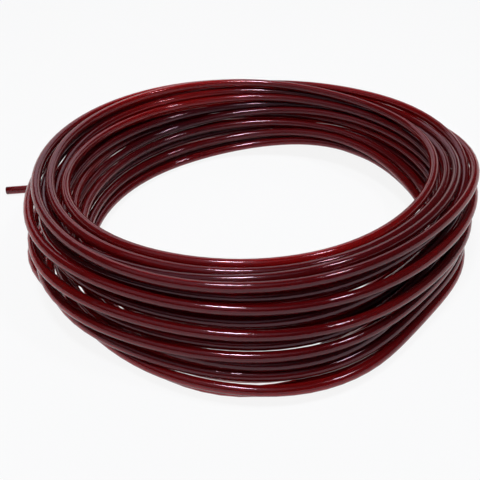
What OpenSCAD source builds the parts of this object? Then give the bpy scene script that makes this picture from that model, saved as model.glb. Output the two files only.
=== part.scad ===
// Coiled air hose: one length of soft plastic tube, wound by hand into a loose coil that
// lies flat. The turns go up and down again in four layers, from the inside out. The last
// loop lies loose on the floor round the foot of the coil, and its end turns away.
// +Z is up and z = 0 is the floor. The origin is the middle of the whole hose's outline on it.

/* [Hose] */
// Outside diameter of the tube
hose_od = 8; // [6.5:0.5:10]
// Bore of the tube
hose_id = 5; // [3:0.5:6]
// Length of the straight piece at the outer cut end
outer_end_len = 30; // [20:5:40]
// Length of the straight piece at the inner cut end
inner_end_len = 24; // [16:4:32]

/* [Winding] */
// Loops of hose in the whole coil, the loose one included
loops = 24; // [12:1:24]
// Inside diameter of the coil
coil_id = 295; // [220:5:400]
// Space between one layer of turns and the next
layer_gap = 2; // [1:0.5:5]
// Space between the turns of one layer, halfway between its front and its back
row_gap = 5.6; // [4:0.2:8]

/* [Lie of the coil] */
// How much higher than halfway round the coil stands at its front, and lower at its back
front_rise = 8; // [0:1:12]
// How far the top of the coil leans to the left of its foot
lean_left = 8; // [0:1:16]
// How far the top of the coil leans back from its foot
lean_back = 14; // [0:1:20]
// How far the loose loop swells out at the left
loose_swell = 16; // [0:1:24]

/* [Hidden] */
hose_colour = [0.29, 0.02, 0.04];
end_colour = [0.42, 0.04, 0.05];
cut = 1;                             // how far a cutting tool runs past what it cuts

layers = 4;
half_turn = 0.5;
mid_level = 0.5;                     // the level that keeps its place as the pile leans
front_angle = 270;                   // degrees, counterclockwise from +X seen from above
inner_angle = 300;                   // where the hose begins, inside the front of the coil
outer_angle = 147;                   // where its other end leaves the coil
swell_turns = 0.22;                  // the part of the loose loop that swells out
rings_per_loop = 24;
coil_sides = 6;
tail_sides = 10;
foot_cut = hose_od / 10;             // depth of the flat on which the coil stands
foot_ease = 0.08;                    // turns over which an end comes up off that flat

row_pitch = hose_od + row_gap;
layer_pitch = hose_od + layer_gap;
// A layer goes up or down at a steady rate, and then the hose steps out by a layer in half
// a turn on the level. The last loop stays on the floor.
turns_wound = loops - (inner_angle - outer_angle) / 360;
climb_turns = (turns_wound - 1 - layers * half_turn) / layers;
leg_turns = climb_turns + half_turn;
rise = climb_turns * row_pitch;      // from the lowest centreline to the highest
first_r = coil_id / 2 + hose_od / 2;

// ---- The winding's centreline, as functions of the turns wound so far
function limit(v) = min(max(v, 0), 1);
function leg(turns) = min(floor(turns / leg_turns), layers - 1);
function climbed(turns) = limit((turns - leg(turns) * leg_turns) / climb_turns);
function level(turns) = leg(turns) % 2 == 0 ? climbed(turns) : 1 - climbed(turns);
function stepped(turns) = limit((turns - leg(turns) * leg_turns - climb_turns) / half_turn);
function last_step(turns) = limit((turns - turns_wound + half_turn) / half_turn);
function loose_part(turns) = limit((turns - turns_wound + 1) / swell_turns);
function swell(turns) = loose_swell * (1 - cos(360 * loose_part(turns))) / 2;
function radius_at(turns) =
    first_r + layer_pitch * (leg(turns) + stepped(turns) + last_step(turns)) + swell(turns);
function off_flat(turns) =
    max(1 - turns / foot_ease, 1 - (turns_wound - turns) / foot_ease, 0);
function foot_z(turns) = hose_od / 2 - foot_cut * (1 - off_flat(turns));
function rise_at(angle) = rise + front_rise * cos(angle - front_angle);

// A level from 0 to 1, at an angle round the coil and a radius from its leaning axis
function wound(angle, radius, height) =
    [radius * cos(angle) - lean_left * (height - mid_level),
     radius * sin(angle) + lean_back * (height - mid_level),
     rise_at(angle) * height];
function centre(turns) =
    wound(inner_angle + 360 * turns, radius_at(turns), level(turns)) + [0, 0, foot_z(turns)];
function way_round(angle) = [-sin(angle), cos(angle), 0];

steps = round(turns_wound * rings_per_loop);
wound_points = [for (i = [0 : steps]) centre(turns_wound * i / steps)];
coil_start = wound_points[0];
coil_finish = wound_points[steps];
start_heading = way_round(inner_angle);
finish_heading = way_round(outer_angle);
outward = [cos(outer_angle), sin(outer_angle), 0];
// Each end of the winding runs straight for one diameter.
coil_route = concat(
    [coil_start - hose_od * start_heading],
    wound_points,
    [coil_finish + hose_od * finish_heading]);

// ---- The tail: its points are distances along and out from where the coil lets it go
tail_points = [[0, 0], [8, 0], [23, 1], [37, 6], [49, 14], [59, 25.5]];
tail_start = coil_finish + hose_od * finish_heading;
tail_route = [for (p = tail_points) tail_start + p[0] * finish_heading + p[1] * outward];
tail_finish = tail_route[len(tail_route) - 1];
tail_heading = unit(tail_finish - tail_route[len(tail_route) - 2]);
outer_tip = tail_finish + outer_end_len * tail_heading;
inner_tip = coil_start - (hose_od + inner_end_len) * start_heading;

// ---- Tubes swept along a list of points
function unit(v) = v / norm(v);
function along(route, i) =
    i == 0 ? unit(route[1] - route[0])
    : i == len(route) - 1 ? unit(route[i] - route[i - 1])
    : unit(unit(route[i + 1] - route[i]) + unit(route[i] - route[i - 1]));
function level_side(v) = unit([v[1], -v[0], 0]);
function ring(route, i, sides) =
    let (ahead = along(route, i), side = level_side(ahead), up = cross(side, ahead))
    [for (k = [0 : sides - 1])
        let (p = route[i] + hose_od / 2 * (cos(360 * k / sides) * side + sin(360 * k / sides) * up))
        [p[0], p[1], max(p[2], 0)]];
function tube_points(route, sides) =
    [for (i = [0 : len(route) - 1]) each ring(route, i, sides)];
function wall_faces(rings, sides) =
    [for (i = [0 : rings - 2], k = [0 : sides - 1])
        let (a = i * sides + k, b = i * sides + (k + 1) % sides)
        each [[a, b, a + sides], [b, b + sides, a + sides]]];
function cap_faces(first, sides, turned) =
    [for (k = [1 : sides - 2])
        turned ? [first, first + k, first + k + 1] : [first, first + k + 1, first + k]];

module tube(route, sides) {
    polyhedron(
        points = tube_points(route, sides),
        faces = concat(
            wall_faces(len(route), sides),
            cap_faces(0, sides, false),
            cap_faces((len(route) - 1) * sides, sides, true)),
        convexity = 20);
}

// ---- The origin: the middle of everything's outline on the floor
end_reach = hose_od / 2 * [abs(tail_heading[1]), abs(tail_heading[0])];
outline = concat(
    [for (p = tube_points(coil_route, coil_sides)) [p[0], p[1]]],
    [[outer_tip[0], outer_tip[1]] - end_reach, [outer_tip[0], outer_tip[1]] + end_reach]);
outline_x = [for (p = outline) p[0]];
outline_y = [for (p = outline) p[1]];
origin = [(min(outline_x) + max(outline_x)) / 2, (min(outline_y) + max(outline_y)) / 2, 0];

// ---- The least gap between one turn and another, measured on the winding's points
least_gap = min([for (i = [0 : steps - rings_per_loop + 1], j = [i + rings_per_loop - 1 : steps])
    norm(wound_points[i] - wound_points[j])]) - hose_od;
hose_length = sum_of([for (i = [1 : steps]) norm(wound_points[i] - wound_points[i - 1])]);
function sum_of(v) = v * [for (i = v) 1];
echo(least_gap_mm = least_gap, wound_length_mm = hose_length, origin = origin);
echo(outer_tip = outer_tip - origin, outer_heading = tail_heading);
echo(inner_tip = inner_tip - origin, inner_heading = -start_heading);

// The straight cut end of the hose, with its bore, from a point along a heading
module cut_end(from, heading, length) {
    turn = atan2(heading[1], heading[0]);
    translate(from) rotate([0, 90, turn]) difference() {
        cylinder(h = length, d = hose_od, $fn = 48);
        translate([0, 0, -cut]) cylinder(h = length + 2 * cut, d = hose_id, $fn = 48);
    }
}

// All the wound turns, one unbroken tube, cut flat where they stand on the floor
module hose_coil() {
    color(hose_colour) translate(-origin) tube(coil_route, coil_sides);
}

// The free stretch that turns away from the coil on the floor
module outer_tail() {
    color(hose_colour) translate(-origin) tube(tail_route, tail_sides);
}

// The outer end, cut square
module outer_end() {
    color(end_colour) translate(-origin) cut_end(tail_finish, tail_heading, outer_end_len);
}

// The inner end, cut square, which lies inside the coil at its foot
module inner_end() {
    color(end_colour) translate(-origin)
        cut_end(coil_start - hose_od * start_heading, -start_heading, inner_end_len);
}

hose_coil();
outer_tail();
outer_end();
inner_end();
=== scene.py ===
# %% [markdown]
# # A coiled air hose
# The object is one long piece of soft plastic tube, wound by hand into a loose coil that lies
# on the floor. There is nothing else on it, so all the work goes into two things: the way
# the turns lie, and the way dark red see-through plastic takes the light. The frame, the
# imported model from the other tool, is loaded first. Every size here is in metres.

import math

import bpy
import numpy as np
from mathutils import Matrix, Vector


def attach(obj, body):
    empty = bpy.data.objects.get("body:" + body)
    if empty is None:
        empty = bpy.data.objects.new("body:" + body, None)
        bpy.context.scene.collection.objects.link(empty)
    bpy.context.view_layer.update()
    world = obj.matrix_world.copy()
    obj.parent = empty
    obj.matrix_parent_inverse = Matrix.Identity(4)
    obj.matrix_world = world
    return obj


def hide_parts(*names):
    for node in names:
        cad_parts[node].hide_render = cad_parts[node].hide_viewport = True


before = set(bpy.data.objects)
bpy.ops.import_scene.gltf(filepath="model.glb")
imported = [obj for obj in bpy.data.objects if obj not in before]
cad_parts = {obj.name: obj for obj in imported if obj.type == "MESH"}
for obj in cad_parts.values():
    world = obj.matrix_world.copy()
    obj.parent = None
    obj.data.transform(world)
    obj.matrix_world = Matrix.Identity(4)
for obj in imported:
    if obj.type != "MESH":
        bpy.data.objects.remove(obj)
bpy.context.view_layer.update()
bpy.ops.object.select_all(action="DESELECT")

# %% [markdown]
# The camera comes next, because the coil's turns are judged by how they look from it. It
# stands a little over half a metre from the middle of the coil and looks down on it.

# %% Camera
COIL_MIDDLE = Vector((0.0261, 0.0037, 0.0))  # the coil's own; the loose end moves the frame's
CAMERA_PLACE = COIL_MIDDLE + Vector((0.0, -0.4518, 0.3448))
CAMERA_LOOKS_DOWN = math.radians(38.6)
LENS_MM = 44.6
FRAMING_SHIFT = -0.027

camera = bpy.data.objects.new("camera", bpy.data.cameras.new("camera"))
bpy.context.collection.objects.link(camera)
camera.location = CAMERA_PLACE
camera.rotation_euler = (math.radians(90) - CAMERA_LOOKS_DOWN, 0, 0)
camera.data.lens = LENS_MM
camera.data.shift_x = FRAMING_SHIFT
bpy.context.scene.camera = camera
print("camera at", [round(v, 3) for v in CAMERA_PLACE])

# %% [markdown]
# The hose's sizes repeat those of the CAD model. The winding is the same too: four layers
# that go up and down in turn, from the inside out, and a last loop on the floor.

# %% Sizes of the hose and its winding
HOSE_OD = 0.008
HOSE_BORE = 0.005
OUTER_END_LENGTH = 0.030
INNER_END_LENGTH = 0.024
LOOPS = 24  # counted round the coil, the loose one among them
COIL_BORE = 0.295
LAYERS = 4
LAYER_PITCH = HOSE_OD + 0.002
ROW_PITCH = HOSE_OD + 0.0056
FRONT_RISE = 0.008
LEAN_LEFT = 0.008
LEAN_BACK = 0.014
LOOSE_SWELL = 0.016
SWELL_TURNS = 0.22
HALF_TURN = 0.5  # the part of a turn in which the hose steps out by a layer
INNER_ANGLE = math.radians(300)
OUTER_ANGLE = math.radians(147)
FRONT_ANGLE = math.radians(270)

TURNS = LOOPS - (INNER_ANGLE - OUTER_ANGLE) / math.tau
CLIMB_TURNS = (TURNS - 1 - LAYERS * HALF_TURN) / LAYERS
LEG_TURNS = CLIMB_TURNS + HALF_TURN
RISE = CLIMB_TURNS * ROW_PITCH
FIRST_RADIUS = (COIL_BORE + HOSE_OD) / 2
RINGS_PER_TURN = 96
print(f"{TURNS:.2f} turns wound, {RISE * 1000:.0f} mm from the lowest to the highest")

# %% [markdown]
# The winding is worked out in columns of numbers, with one row for each point along the hose:
# how many turns lie behind it, which way it faces from the middle, which layer it is in, and
# how high in that layer it lies. A curve drawn by hand would do for three or four turns, but
# with two dozen it is easier to say how all of them lie. Points 96 rows apart are a turn apart.

# %% Where each point is in the winding
turns = np.linspace(0, TURNS, round(TURNS * RINGS_PER_TURN) + 1)
angle = INNER_ANGLE + math.tau * turns
leg = np.minimum(turns // LEG_TURNS, LAYERS - 1)
into_leg = turns - leg * LEG_TURNS
climbed = np.clip(into_leg / CLIMB_TURNS, 0, 1)
level = np.where(leg % 2 == 0, climbed, 1 - climbed)
layer = leg + np.clip((into_leg - CLIMB_TURNS) / HALF_TURN, 0, 1)
rise = RISE + FRONT_RISE * np.cos(angle - FRONT_ANGLE)
print(len(turns), "points along the winding")

# %% [markdown]
# The tidy winding is the CAD model's own. Each layer stands a little more than a hose's width
# outside the one before, and the last loop swells out over its first fifth. The hand-wound
# hose starts from it, because it says where the two cut ends are.


# %% The tidy winding
def at(x, y, z):
    """Points in the frame, from places round the coil's own middle."""
    return np.stack([COIL_MIDDLE.x + x, COIL_MIDDLE.y + y, z], axis=1)


last_step = np.clip((turns - TURNS + HALF_TURN) / HALF_TURN, 0, 1)
loose_part = np.clip((turns - TURNS + 1) / SWELL_TURNS, 0, 1)
tidy_radius = (
    FIRST_RADIUS
    + LAYER_PITCH * (layer + last_step)
    + LOOSE_SWELL * (1 - np.cos(math.tau * loose_part)) / 2
)
tidy = at(
    tidy_radius * np.cos(angle) - LEAN_LEFT * (level - 0.5),
    tidy_radius * np.sin(angle) + LEAN_BACK * (level - 0.5),
    HOSE_OD / 2 + rise * level,
)
print(f"tidy winding, {tidy_radius.min() * 1000:.0f} to {tidy_radius.max() * 1000:.0f} mm out")

# %% [markdown]
# A coil wound by hand isn't tidy. Its layers are drawn together until they touch, the whole
# pile leans over, and it bulges where the hand let go. Each of these is a smooth change of a
# turn's radius or height, most of them largest at one place round the coil. A sculpting brush
# could do the same, but it would squash the tube, while this moves only the tube's middle line.


# %% Smooth steps and smooth humps
def ease(part):
    part = np.clip(part, 0, 1)
    return part * part * (3 - 2 * part)


def near_angle(degrees, wide):
    """1 at this angle round the coil, falling to nothing some way to each side of it."""
    away = (angle - math.radians(degrees) + math.pi) % math.tau - math.pi
    return np.exp(-((away / math.radians(wide)) ** 2))


from_middle_layer = np.minimum(layer, LAYERS - 1) - (LAYERS - 1) / 2
outwardness = np.minimum(layer / (LAYERS - 1), 1)
at_mid_height = np.sin(math.pi * level)
print("layers from", from_middle_layer.min(), "to", from_middle_layer.max(), "about the middle")

# %% How far out the wall stands
WALL_RADIUS = 0.1673
WALL_LAYER_PITCH = 0.00661
RIM_SPREAD = 0.00233
RIM_BULGE = 0.02179
FOOT_DENT = 0.02117
FRONT_BULGE = 0.01631
BACK_FOOT_SPREAD = 0.022
# Each hump has its place round the coil and its width, both in degrees.
RIM_SPREAD_PLACE = (5, 35)
RIM_BULGE_PLACE = (10, 35)
FOOT_DENT_PLACE = (318, 28)
FRONT_BULGE_PLACE = (213, 27)
BACK_FOOT_PLACE = (125, 55)
RIM_SPREADS_FROM = 0.2  # these three are parts of the pile's height
RIM_BULGES_FROM = 0.3
RIM_EASES_OVER = 0.5
DENT_STEEPNESS = 1.5
BULGE_FLATNESS = 0.7

wall_radius = WALL_RADIUS + from_middle_layer * WALL_LAYER_PITCH
# The layers spread apart at the right rim, which also stands out further.
rim_spreads = ease((level - RIM_SPREADS_FROM) / RIM_EASES_OVER)
wall_radius += from_middle_layer * RIM_SPREAD * near_angle(*RIM_SPREAD_PLACE) * rim_spreads
rim_bulges = ease((level - RIM_BULGES_FROM) / RIM_EASES_OVER)
wall_radius += RIM_BULGE * near_angle(*RIM_BULGE_PLACE) * rim_bulges
# The foot is pressed in at the right of the front, and the wall bulges at the left of it.
wall_radius -= FOOT_DENT * (1 - level) ** DENT_STEEPNESS * near_angle(*FOOT_DENT_PLACE)
mid_bulge = at_mid_height**BULGE_FLATNESS
wall_radius += FRONT_BULGE * outwardness * mid_bulge * near_angle(*FRONT_BULGE_PLACE)
# At the back the outer turns' foot spreads towards the loose last loop.
wall_radius += BACK_FOOT_SPREAD * (1 - level) * outwardness**3 * near_angle(*BACK_FOOT_PLACE)
print(f"wall {wall_radius.min() * 1000:.0f} to {wall_radius.max() * 1000:.0f} mm from its middle")

# %% How high the wall's turns lie, and how it leans
FOOT_SHIFT = (0.01340, -0.02201)
TOP_SHIFT = (-0.00972, 0.01230)
CLOSER_AT_TOP = 0.92
LAYERS_RAISED = np.array([-0.01085, 0.00162, 0.01162, -0.00721])
INNER_FOOT_LIFT = 0.02329
INNER_FOOT_PLACE = (53.69, 45.97)

# The layers stand at different heights, so one's turns lie before the gaps of the next.
height = rise * level**CLOSER_AT_TOP + LAYERS_RAISED[leg.astype(int)] * at_mid_height
# The inner turns' foot rides up on the outer turns at the far right.
lifted = near_angle(*INNER_FOOT_PLACE)
height += INNER_FOOT_LIFT * (1 - level) * (1 - outwardness**2) * lifted
wall = at(
    wall_radius * np.cos(angle) + FOOT_SHIFT[0] + (TOP_SHIFT[0] - FOOT_SHIFT[0]) * level,
    wall_radius * np.sin(angle) + FOOT_SHIFT[1] + (TOP_SHIFT[1] - FOOT_SHIFT[1]) * level,
    HOSE_OD / 2 + height,
)
print(f"the highest turn's middle is {wall[:, 2].max() * 1000:.0f} mm up")

# %% [markdown]
# The last loop got away from the hand. It lies on the floor outside the others, furthest out
# at the left and the front. The hose eases from the wall into it, and both of its ends ease
# back into the tidy winding, because there the CAD model says where the cut ends are.

# %% The loose last loop
LOOSE_RADIUS = 0.1797
LOOSE_LEFT = 0.02034
LOOSE_FRONT = 0.01498
LOOSE_LEFT_PLACE = (190, 19)
LOOSE_FRONT_PLACE = (265, 24)
INNER_TIDY_TURNS = 0.2
OUTER_TIDY_TURNS = 0.42

loose_radius = (
    LOOSE_RADIUS
    + LOOSE_LEFT * near_angle(*LOOSE_LEFT_PLACE)
    + LOOSE_FRONT * near_angle(*LOOSE_FRONT_PLACE)
)
loose_loop = at(
    loose_radius * np.cos(angle), loose_radius * np.sin(angle), np.full_like(turns, HOSE_OD / 2)
)
in_last_loop = np.where(leg == LAYERS - 1, ease(layer - (LAYERS - 1)), 0)
by_hand = ease(turns / INNER_TIDY_TURNS) * ease((TURNS - turns) / OUTER_TIDY_TURNS)
drawn = wall + (loose_loop - wall) * in_last_loop[:, None]
drawn = tidy + (drawn - tidy) * by_hand[:, None]
print(f"{in_last_loop.sum() / RINGS_PER_TURN:.2f} turns lie loose")

# %% [markdown]
# Each turn also wanders a little up and down and in and out, since no hand lays two turns
# alike. Random steps from point to point would give a crooked hose, so the wander is a sum
# of four slow waves along it, each with a random height and start from a fixed seed.

# %% Wander
WANDER_UP = 0.01000
WANDER_OUT = 0.00236
WAVES_PER_TURN = (0.31, 0.83, 1.13, 1.71)
OUT_SEED = 105
UP_SEED = 111
CALM_END_TURNS = 0.5
CALMER_LAST_LOOP = 0.7


def slow_waves(seed):
    """A smooth random number along the hose."""
    rng = np.random.default_rng(seed)
    wave = np.zeros_like(turns)
    for per_turn in WAVES_PER_TURN:
        wave += rng.normal() * np.sin(math.tau * (per_turn * turns + rng.random()))
    return wave / 2


ends_held = np.minimum(1, np.minimum(turns, TURNS - turns) / CALM_END_TURNS)
outward = np.stack([np.cos(angle), np.sin(angle)], axis=1)
last_loop_calm = 1 - CALMER_LAST_LOOP * in_last_loop
wander_out = WANDER_OUT * ends_held * last_loop_calm * slow_waves(OUT_SEED)
drawn[:, :2] += outward * wander_out[:, None]
drawn[:, 2] += WANDER_UP * ends_held * (1 - in_last_loop) * slow_waves(UP_SEED)
drawn[:, 2] = np.maximum(drawn[:, 2], HOSE_OD / 2)
print(f"the turns wander up to {np.abs(wander_out).max() * 1000:.1f} mm in and out")

# %% [markdown]
# Turns that lie on each other leave few slits between them. To find the slits, the pile is
# looked at along several lines of sight, from outside and from inside. At each place round
# the coil the turns are put in order across the line, and where two neighbours stand further
# apart than most of a hose's width, the lower one is drawn up and the upper one down.

# %% Slits that a line of sight would pass through
# How far each line looks down from outside the coil, or below 0 from inside it.
SIGHT_LINES = np.radians([-45, -30, -15, 0, 12, 24, 36, 48])
WIDEST_SPACING = 0.0064  # between the middles of two turns, square to the line of sight


def by_station(values):
    """One row for each turn, so that a column holds all turns at one place round the coil."""
    rows = -(-len(values) // RINGS_PER_TURN)
    table = np.full(rows * RINGS_PER_TURN, np.nan)
    table[: len(values)] = values
    return table.reshape(rows, RINGS_PER_TURN)


def drawn_together(points):
    """How far each point goes up, or down if it is below nothing, to close the slits."""
    out = np.hypot(points[:, 0] - COIL_MIDDLE.x, points[:, 1] - COIL_MIDDLE.y)
    upwards = np.zeros(len(points))
    for down in SIGHT_LINES:
        across = by_station(points[:, 2] * math.cos(down) - out * math.sin(down))
        order = np.argsort(across, axis=0)
        ordered = np.take_along_axis(across, order, axis=0)
        slit = np.nan_to_num(np.clip(np.diff(ordered, axis=0) - WIDEST_SPACING, 0, None))
        shift = np.zeros_like(across)
        shift[:-1] += slit
        shift[1:] -= slit
        in_place = np.zeros_like(across)
        np.put_along_axis(in_place, order, shift, axis=0)
        upwards += in_place.ravel()[: len(points)]
    return upwards


print(len(SIGHT_LINES), "lines of sight through the wall")

# %% [markdown]
# Real turns can't lie inside each other. Blender could find how they rest with a simulation,
# but two dozen turns of thin hose would be slow to run and hard to steer. Here, turns that
# come too close push each other aside in a few hundred small steps, square to the hose, while
# in the first third of them the slits close too. Nothing sinks into the floor, and each step
# is smoothed along the hose, because a hose makes no sharp bend. At the end the turns touch,
# and in a few places they still press into each other by a fraction of a millimetre.

# %% Push apart
LEAST_APART = HOSE_OD + 0.00035
PUSH = 1.6
SPRING_BACK = 0.02
SINKING = 0.00003
CLOSENESS = 0.095
SETTLING_ROUNDS = 112
CLEARING_ROUNDS = 220
HELD_END_TURNS = 0.2


def headings(points):
    """Which way the hose runs at each point."""
    ahead = np.gradient(points, axis=0)
    return ahead / np.linalg.norm(ahead, axis=1)[:, None]


def straight_across(points, ahead, k):
    """From each point, square to the hose, to the turn that lies k points further on."""
    between = points[k:] - points[:-k]
    both = ahead[k:] + ahead[:-k]
    both /= np.linalg.norm(both, axis=1)[:, None]
    return between - np.sum(between * both, axis=1)[:, None] * both


def push_apart(points):
    """Turns settle and close up at first, and then those too close are only pushed apart."""
    start = points.copy()
    held = ease(np.minimum(turns, TURNS - turns) / HELD_END_TURNS)[:, None]
    for done in range(SETTLING_ROUNDS + CLEARING_ROUNDS):
        move = np.zeros_like(points)
        touching = np.ones(len(points))
        ahead = headings(points)
        for apart in range(1, LOOPS):
            k = apart * RINGS_PER_TURN
            between = straight_across(points, ahead, k)
            distance = np.linalg.norm(between, axis=1)
            overlap = np.clip(LEAST_APART - distance, 0, None)
            push = between * (overlap / 2 / distance)[:, None]
            move[k:] += push
            move[:-k] -= push
            touching[k:] += overlap > 0
            touching[:-k] += overlap > 0
        move *= PUSH / touching[:, None]
        if done < SETTLING_ROUNDS:
            move -= SPRING_BACK * (points - start)
            move[:, 2] -= SINKING
            move[:, 2] += CLOSENESS * drawn_together(points) * (1 - in_last_loop)
        changed = points + move * held - start
        changed[1:-1] = changed[1:-1] / 2 + (changed[:-2] + changed[2:]) / 4
        points = start + changed
        points[:, 2] = np.maximum(points[:, 2], HOSE_OD / 2)
    return points


# %% Settle the pile
def least_gap(points):
    """The least gap between surfaces at points whole turns apart; below nothing they overlap."""
    ahead = headings(points)
    gaps = [
        np.linalg.norm(straight_across(points, ahead, k), axis=1).min()
        for k in range(RINGS_PER_TURN, len(points), RINGS_PER_TURN)
    ]
    return min(gaps) - HOSE_OD


wound = push_apart(drawn)
print(f"least gap between turns {least_gap(wound) * 1000:.2f} mm")

# %% [markdown]
# Both ends are cut square and run straight. The outer one turns away from the coil on the
# floor, along points that are distances along and out from where the coil lets it go. A
# Bezier curve would do as well, but a smooth line through a few points is short to write,
# and its points follow on from those of the winding.

# %% The two free ends
TAIL_POINTS_MM = [(0, 0), (8, 0), (23, 1), (37, 6), (49, 14), (59, 25.5)]
POINTS_PER_TAIL_STEP = 4
CUT_EDGE = 0.0003
POINTS_ALONG_END = (0.01, 0.02)


def way_round(a):
    """The direction in which the hose goes round the coil at this angle."""
    return np.array([-math.sin(a), math.cos(a), 0])


def smooth_line(points, steps):
    """A Catmull-Rom line through points."""
    p = np.array([2 * points[0] - points[1], *points, 2 * points[-1] - points[-2]])
    line = []
    for a, b, c, d in zip(p, p[1:], p[2:], p[3:]):
        for t in np.arange(steps) / steps:
            bend = (2 * a - 5 * b + 4 * c - d) * t**2 + (3 * b - a - 3 * c + d) * t**3
            line.append(b + ((c - a) * t + bend) / 2)
    return np.array([*line, points[-1]])


def straight(start, direction, *distances):
    return np.array([start + direction * distance for distance in distances])


away = way_round(OUTER_ANGLE)
out = np.array([math.cos(OUTER_ANGLE), math.sin(OUTER_ANGLE), 0])
tail_start = wound[-1] + HOSE_OD * away
tail_knots = np.array([tail_start + (a * away + o * out) / 1000 for a, o in TAIL_POINTS_MM])
tail_heading = tail_knots[-1] - tail_knots[-2]
tail_heading /= np.linalg.norm(tail_heading)
outer_end = straight(
    tail_knots[-1],
    tail_heading,
    *POINTS_ALONG_END,
    OUTER_END_LENGTH - CUT_EDGE,
    OUTER_END_LENGTH,
)
inner_length = HOSE_OD + INNER_END_LENGTH
inner_end = straight(
    wound[0],
    -way_round(INNER_ANGLE),
    inner_length,
    inner_length - CUT_EDGE,
    *reversed(POINTS_ALONG_END),
)
print("inner end from", wound[0].round(4), "and outer end from", tail_knots[-1].round(4))

# %% The whole route
route = np.concatenate(
    [inner_end, wound, smooth_line(tail_knots, POINTS_PER_TAIL_STEP), outer_end]
)
along = np.concatenate([[0], np.cumsum(np.linalg.norm(np.diff(route, axis=0), axis=1))])

# %% [markdown]
# How dark the red looks depends on how much hose lies round each stretch, so that is counted
# too: a stretch with little beside it lets the light through, and there a brighter red glow
# is painted into the hose's colour. A shader can't count turns, but it can read a number that
# is stored at each point of the mesh.

# %% How much light comes through each stretch, for the painted glow
SEEN_BESIDE = 0.013
TOUCHING = 0.009
CROWD = 3.4  # so many turns beside it take all the light
ALONE_GLOW = 0.7
RIM_GLOW = 0.9
EDGE_GLOW = 0.7
END_GLOW = 0.45
RIM_GLOW_PLACE = (118, 32)
EDGE_GLOW_PLACE = (272, 40)
RIM_GLOWS_FROM = 0.62  # these four are parts of the pile's height
RIM_GLOW_EASES_OVER = 0.25
EDGE_GLOWS_FROM = 0.94
EDGE_GLOW_EASES_OVER = 0.05


def alone(points):
    """1 where no other turn lies near, and 0 in the thick of the pile."""
    crowd = np.zeros(len(points))
    for k in range(RINGS_PER_TURN, len(points), RINGS_PER_TURN):
        distance = np.linalg.norm(points[k:] - points[:-k], axis=1)
        beside = np.clip((SEEN_BESIDE - distance) / (SEEN_BESIDE - TOUCHING), 0, 1)
        crowd[k:] += beside
        crowd[:-k] += beside
    return np.clip(1 - crowd / CROWD, 0, 1)


# A glow is also painted on the upper turns at the far left and on the innermost turn at the
# front, which stand before the floor.
rim_rises = ease((level - RIM_GLOWS_FROM) / RIM_GLOW_EASES_OVER)
rim_lit = near_angle(*RIM_GLOW_PLACE) * rim_rises
edge_rises = ease((level - EDGE_GLOWS_FROM) / EDGE_GLOW_EASES_OVER)
edge_lit = near_angle(*EDGE_GLOW_PLACE) * edge_rises * (layer <= 1)
lit_wound = np.clip(
    alone(wound) * ALONE_GLOW + RIM_GLOW * rim_lit + EDGE_GLOW * edge_lit, 0, 1
)
wound_first = len(inner_end)
lit = np.full(len(route), END_GLOW)
lit[wound_first : wound_first + len(wound)] = lit_wound
print(f"light comes through {np.mean(lit > 0.5) * 100:.0f}% of the hose")

# %% [markdown]
# The hose is swept along the route as one tube with a true bore. A curve with a round bevel
# would be quicker to make, but a mesh can be open at its ends and carry a UV map that counts
# metres along the hose and parts of a turn round it, which the plastic's fine lines need.

# %% Rings along the route, and walls between them
SIDES = 16


def rings_along(route, radii):
    """One ring of points round each point of the route."""
    ahead = np.gradient(route, axis=0)
    side = np.cross(ahead, (0, 0, 1))
    side /= np.linalg.norm(side, axis=1)[:, None]
    up = np.cross(side, ahead)
    up /= np.linalg.norm(up, axis=1)[:, None]
    turn = math.tau * np.arange(SIDES) / SIDES
    cos, sin = np.cos(turn)[None, :, None], np.sin(turn)[None, :, None]
    spoke = cos * side[:, None] + sin * up[:, None]
    return route[:, None] + radii[:, None, None] * spoke


def wall_quads(count, first, inside_out):
    """The quads between neighbouring rings, and their places in the UV map."""
    ring, k = np.meshgrid(np.arange(count - 1), np.arange(SIDES), indexing="ij")
    ring, k = ring.ravel(), k.ravel()
    corners = [(ring, k), (ring + 1, k), (ring + 1, k + 1), (ring, k + 1)]
    if inside_out:
        corners.reverse()
    quads = np.stack([first + r * SIDES + c % SIDES for r, c in corners], axis=1)
    places = np.stack([np.stack([along[r], c / SIDES], axis=1) for r, c in corners], axis=1)
    return quads, places


count = len(route)
outer_radii = np.full(count, HOSE_OD / 2)
bore_radii = np.full(count, HOSE_BORE / 2)
outer_radii[[0, -1]] -= CUT_EDGE
bore_radii[[0, -1]] += CUT_EDGE / 2
outer_rings = rings_along(route, outer_radii).reshape(-1, 3)
bore_rings = rings_along(route, bore_radii).reshape(-1, 3)
points = np.concatenate([outer_rings, bore_rings])
outer_quads, outer_places = wall_quads(count, 0, inside_out=False)
bore_quads, bore_places = wall_quads(count, count * SIDES, inside_out=True)
print(count, "rings of", SIDES, "points, outside and in the bore")


# %% The cut faces, and the mesh
def cut_face(ring, turned):
    """The flat ring of plastic at a cut end."""
    k = np.arange(SIDES)
    n = (k + 1) % SIDES
    a, b = ring * SIDES, (count + ring) * SIDES
    quads = np.stack([a + k, b + k, b + n, a + n], axis=1)
    return quads[:, ::-1] if turned else quads


start_face, end_face = cut_face(0, turned=True), cut_face(count - 1, turned=False)
quads = np.concatenate([outer_quads, bore_quads, start_face, end_face])
flat_places = np.zeros((2 * SIDES, 4, 2))
places = np.concatenate([outer_places, bore_places, flat_places])

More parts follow.
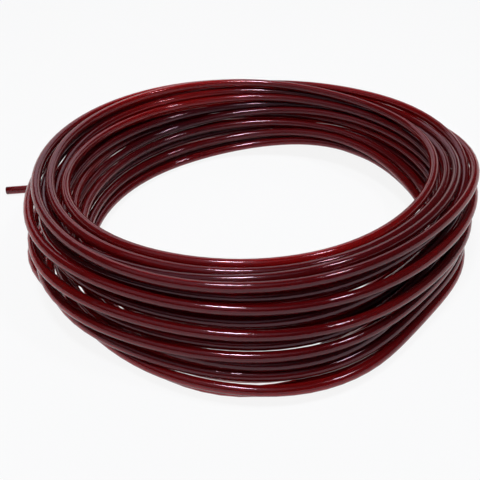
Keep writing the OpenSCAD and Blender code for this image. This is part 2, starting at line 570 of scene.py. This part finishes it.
mesh = bpy.data.meshes.new("hose")
mesh.from_pydata(points.tolist(), [], quads.tolist())
mesh.uv_layers.new(name="along_and_round").data.foreach_set("uv", places.ravel())
smooth_faces = [True] * (len(quads) - 2 * SIDES) + [False] * 2 * SIDES
mesh.polygons.foreach_set("use_smooth", smooth_faces)
lit_points = np.tile(np.repeat(lit, SIDES), 2)
lit_attribute = mesh.attributes.new(name="lit", type="FLOAT", domain="POINT")
lit_attribute.data.foreach_set("value", lit_points)
mesh.update()
hose = bpy.data.objects.new("hose", mesh)
bpy.context.collection.objects.link(hose)
print("hose", len(quads) * 2, "triangles")

# %% [markdown]
# The plastic is soft, glossy and see-through, dyed a deep red. One thickness of hose with
# light behind it glows red, and where turns lie on turns the red goes nearly black, with
# only the pale sheen of the room on it. A shader that is mostly glass and part body colour
# does much of this by itself. Noise makes the dye a little cloudy. On top of it, a brighter
# red glow is painted into the colour wherever the count stored on the mesh says light shows
# through.

# %% The dye, with a painted glow where light shows through
DEEP_RED = (0.053, 0.0007, 0.0035, 1)
CLOUDY_RED = (0.102, 0.0021, 0.0078, 1)
LIT_RED = (0.54, 0.010, 0.008, 1)
SEE_THROUGH_SHARE = 0.7
SHEEN_TINT = (1.0, 0.76, 0.88, 1)
PLASTIC_IOR = 1.5
CLOUDS_PER_METRE = 45.0


def new_node(tree, kind, **values):
    """A node with these input values and settings."""
    node = tree.nodes.new(kind)
    for name, value in values.items():
        if name in node.inputs:
            node.inputs[name].default_value = value
        else:
            setattr(node, name, value)
    return node


def mixed_colour(tree, share, first, second):
    """A mix of two colours, each a value or another node's output."""
    mix = new_node(tree, "ShaderNodeMix", data_type="RGBA")
    tree.links.new(share, mix.inputs["Factor"])
    for name, colour in (("A", first), ("B", second)):
        if isinstance(colour, tuple):
            mix.inputs[name].default_value = colour
        else:
            tree.links.new(colour, mix.inputs[name])
    return mix.outputs["Result"]


plastic = bpy.data.materials.new("hose_plastic")
plastic.use_nodes = True
tree = plastic.node_tree
shader = tree.nodes["Principled BSDF"]
shader.inputs["IOR"].default_value = PLASTIC_IOR
shader.inputs["Transmission Weight"].default_value = SEE_THROUGH_SHARE
shader.inputs["Specular Tint"].default_value = SHEEN_TINT
where = new_node(tree, "ShaderNodeTexCoord")
clouds = new_node(tree, "ShaderNodeTexNoise", Scale=CLOUDS_PER_METRE, Detail=3.0)
tree.links.new(where.outputs["Object"], clouds.inputs["Vector"])
light_through = new_node(tree, "ShaderNodeAttribute", attribute_name="lit")
dye_and_painted_glow = mixed_colour(tree, clouds.outputs["Fac"], DEEP_RED, CLOUDY_RED)
# Where the stored count says light comes through, the colour is painted a brighter red: a painted
# glow.
dye_and_painted_glow = mixed_colour(tree, light_through.outputs["Fac"], dye_and_painted_glow, LIT_RED)
print("dye from", DEEP_RED[:3], "to", LIT_RED[:3])

# %% [markdown]
# The die that the hose was pressed through leaves fine lines along it, and turns that were
# dragged over each other and over floors leave small dull scuffs. The lines follow the UV
# map, stretched some four hundred times longer than they are wide, and the scuffs lie
# anywhere. An image of scratches would do this too, but noise has no seams and no end.

# %% Die lines
LINES_PER_METRE = 2.0
LINES_ROUND = 22.0
LINE_NOISE = (0.3, 0.8)  # the part of the noise that shows
LINE_ROUGHNESS = (0.06, 0.14)
RIPPLE_STRENGTH = 0.04
RIPPLE_DEPTH = 0.0004


def mapped(tree, value, seen, wanted):
    """This value, with the span that is seen stretched over the wanted one."""
    node = new_node(tree, "ShaderNodeMapRange")
    names = ("From Min", "From Max", "To Min", "To Max")
    for name, number in zip(names, (*seen, *wanted)):
        node.inputs[name].default_value = number
    tree.links.new(value, node.inputs["Value"])
    return node.outputs["Result"]


along_hose = new_node(tree, "ShaderNodeMapping")
along_hose.inputs["Scale"].default_value = (LINES_PER_METRE, LINES_ROUND, 1.0)
tree.links.new(where.outputs["UV"], along_hose.inputs["Vector"])
die_lines = new_node(tree, "ShaderNodeTexNoise", Scale=1.0, Detail=2.0)
tree.links.new(along_hose.outputs["Vector"], die_lines.inputs["Vector"])
line_roughness = mapped(tree, die_lines.outputs["Fac"], LINE_NOISE, LINE_ROUGHNESS)
ripple = new_node(tree, "ShaderNodeBump", Strength=RIPPLE_STRENGTH, Distance=RIPPLE_DEPTH)
tree.links.new(die_lines.outputs["Fac"], ripple.inputs["Height"])
tree.links.new(ripple.outputs["Normal"], shader.inputs["Normal"])
print("die lines,", LINES_ROUND, "steps of noise round the hose")

# %% Scuffs
SCUFFS_PER_METRE = 170.0
SCUFF_NOISE = (0.62, 0.74)
SCUFF_DUST = (0.15, 0.038, 0.043, 1)
SCUFF_DUST_SHARE = 0.35
SCUFF_ROUGHNESS = 0.16

scuff_noise = new_node(tree, "ShaderNodeTexNoise", Scale=SCUFFS_PER_METRE, Detail=4.0)
tree.links.new(where.outputs["Object"], scuff_noise.inputs["Vector"])
scuffs = mapped(tree, scuff_noise.outputs["Fac"], SCUFF_NOISE, (0.0, 1.0))
roughness = new_node(tree, "ShaderNodeMath", operation="MULTIPLY_ADD")
roughness.inputs[1].default_value = SCUFF_ROUGHNESS
tree.links.new(scuffs, roughness.inputs[0])
tree.links.new(line_roughness, roughness.inputs[2])
tree.links.new(roughness.outputs[0], shader.inputs["Roughness"])
dusty = new_node(tree, "ShaderNodeMath", operation="MULTIPLY")
dusty.inputs[1].default_value = SCUFF_DUST_SHARE
tree.links.new(scuffs, dusty.inputs[0])
scuffed_dye_and_painted_glow = mixed_colour(tree, dusty.outputs[0], dye_and_painted_glow, SCUFF_DUST)
tree.links.new(scuffed_dye_and_painted_glow, shader.inputs["Base Color"])
hose.data.materials.append(plastic)
print("hose_plastic", len(tree.nodes), "nodes")

# %% [markdown]
# A knife leaves the two cut faces dull and paler than the skin, with faint marks across
# them. One plastic could turn paler there by its UV map, but a second one is simpler to
# follow. The cut faces are the last in the mesh's list, so they are easy to pick out for it.

# %% The plastic of the cut faces
CUT_PALE = (0.36, 0.045, 0.05, 1)
CUT_DEEP = (0.24, 0.02, 0.028, 1)
CUT_SEE_THROUGH = 0.3
KNIFE_MARKS_PER_METRE = 900.0
KNIFE_NOISE = (0.3, 0.7)
KNIFE_ROUGHNESS = (0.35, 0.55)

cut_plastic = bpy.data.materials.new("cut_plastic")
cut_plastic.use_nodes = True
tree = cut_plastic.node_tree
shader = tree.nodes["Principled BSDF"]
shader.inputs["Transmission Weight"].default_value = CUT_SEE_THROUGH
where = new_node(tree, "ShaderNodeTexCoord")
knife_marks = new_node(tree, "ShaderNodeTexNoise", Scale=KNIFE_MARKS_PER_METRE, Detail=2.0)
tree.links.new(where.outputs["Object"], knife_marks.inputs["Vector"])
marks = knife_marks.outputs["Fac"]
tree.links.new(mixed_colour(tree, marks, CUT_PALE, CUT_DEEP), shader.inputs["Base Color"])
tree.links.new(mapped(tree, marks, KNIFE_NOISE, KNIFE_ROUGHNESS), shader.inputs["Roughness"])
hose.data.materials.append(cut_plastic)
material_of_face = np.zeros(len(quads), dtype=np.int32)
material_of_face[-2 * SIDES :] = 1
hose.data.polygons.foreach_set("material_index", material_of_face)
print("cut_plastic on", 2 * SIDES, "faces")

# %% [markdown]
# The studio is plain and pale. The white floor ends at a low round backdrop of the same
# paint, so that what stands right behind the coil is pale from low down too. Above it the
# room is dark. Where the camera, a reflection or a look through the plastic meets the paint,
# most of it is white light of its own, and the rest is lit by the lamps, which leaves the
# coil's shadow on it. Brighter lamps would whiten the floor as well, but bleach the hose.

# %% The paint of the floor
FLOOR_OWN_LIGHT = 0.89
FLOOR_COLOUR = (0.85, 0.85, 0.85, 1)
FLOOR_ROUGHNESS = 0.9

floor_paint = bpy.data.materials.new("floor_paint")
floor_paint.use_nodes = True
tree = floor_paint.node_tree
paint = tree.nodes["Principled BSDF"]
paint.inputs["Base Color"].default_value = FLOOR_COLOUR
paint.inputs["Roughness"].default_value = FLOOR_ROUGHNESS
ray = new_node(tree, "ShaderNodeLightPath")
camera_or_glossy = new_node(tree, "ShaderNodeMath", operation="MAXIMUM")
or_through = new_node(tree, "ShaderNodeMath", operation="MAXIMUM")
tree.links.new(ray.outputs["Is Camera Ray"], camera_or_glossy.inputs[0])
tree.links.new(ray.outputs["Is Glossy Ray"], camera_or_glossy.inputs[1])
tree.links.new(camera_or_glossy.outputs[0], or_through.inputs[0])
tree.links.new(ray.outputs["Is Transmission Ray"], or_through.inputs[1])
share = new_node(tree, "ShaderNodeMath", operation="MULTIPLY")
share.inputs[1].default_value = FLOOR_OWN_LIGHT
tree.links.new(or_through.outputs[0], share.inputs[0])
glow = new_node(tree, "ShaderNodeEmission", Strength=1.0)
mix = new_node(tree, "ShaderNodeMixShader")
tree.links.new(share.outputs[0], mix.inputs[0])
tree.links.new(paint.outputs[0], mix.inputs[1])
tree.links.new(glow.outputs[0], mix.inputs[2])
tree.links.new(mix.outputs[0], tree.nodes["Material Output"].inputs["Surface"])
print("floor_paint", len(tree.nodes), "nodes")

# %% Floor and backdrop
FLOOR_SIZE = 6
BACKDROP_RADIUS = 2.9
BACKDROP_HEIGHT = 0.95
BACKDROP_SIDES = 96

bpy.ops.mesh.primitive_plane_add(size=FLOOR_SIZE, location=(0, 0, 0))
floor = bpy.context.object
floor.name = "floor"
floor.data.materials.append(floor_paint)
bpy.ops.mesh.primitive_cylinder_add(
    vertices=BACKDROP_SIDES, radius=BACKDROP_RADIUS, depth=BACKDROP_HEIGHT, end_fill_type="NOTHING",
    location=(0, 0, BACKDROP_HEIGHT / 2),
)
backdrop = bpy.context.object
backdrop.name = "backdrop"
bpy.ops.object.shade_smooth()
backdrop.data.materials.append(floor_paint)
print("floor", FLOOR_SIZE, "m wide, backdrop", BACKDROP_HEIGHT, "m high")

# %% [markdown]
# Glossy plastic shows its lamps. A broad dim panel overhead and one behind the coil give the
# pale sheen along each turn, and two small bright ones give the short white streaks. Point
# lamps would give only dots. A panel's brightness is written as radiance, which is what a
# reflection shows, and its power follows from that and its size.

# %% Room and lamps
ROOM_COLOUR = (0.95, 0.97, 1.0, 1)
ROOM_LIGHT = 0.05
PANEL_COLOUR = (0.89, 0.92, 1.0)
# Each panel has its place, its two sides and its radiance.
PANELS = {
    "broad_panel": ((-0.35, -0.45, 1.5), (1.7, 1.4), 0.44),
    "back_panel": ((-0.25, 1.7, 1.25), (1.8, 0.9), 1.15),
    "front_panel": ((-0.09, -0.12, 1.5), (0.26, 0.20), 66),
    "right_panel": ((0.70, 0.05, 1.45), (0.20, 0.16), 44),
}

room = bpy.data.worlds.new("room")
bpy.context.scene.world = room
room.use_nodes = True
background = room.node_tree.nodes["Background"]
background.inputs["Color"].default_value = ROOM_COLOUR
background.inputs["Strength"].default_value = ROOM_LIGHT

for name, (place, size, radiance) in PANELS.items():
    lamp = bpy.data.objects.new(name, bpy.data.lights.new(name, "AREA"))
    bpy.context.collection.objects.link(lamp)
    lamp.data.shape = "RECTANGLE"
    lamp.data.size, lamp.data.size_y = size
    lamp.data.energy = radiance * math.pi * size[0] * size[1]
    lamp.data.color = PANEL_COLOUR
    lamp.location = place
    lamp.rotation_euler = (-Vector(place)).to_track_quat("-Z", "Y").to_euler()
    print(name, f"{lamp.data.energy:.1f} W")
bpy.context.scene.view_settings.view_transform = "Standard"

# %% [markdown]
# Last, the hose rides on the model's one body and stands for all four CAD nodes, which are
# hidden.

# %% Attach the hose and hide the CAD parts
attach(hose, "root")
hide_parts("hose_coil", "outer_tail", "outer_end", "inner_end")
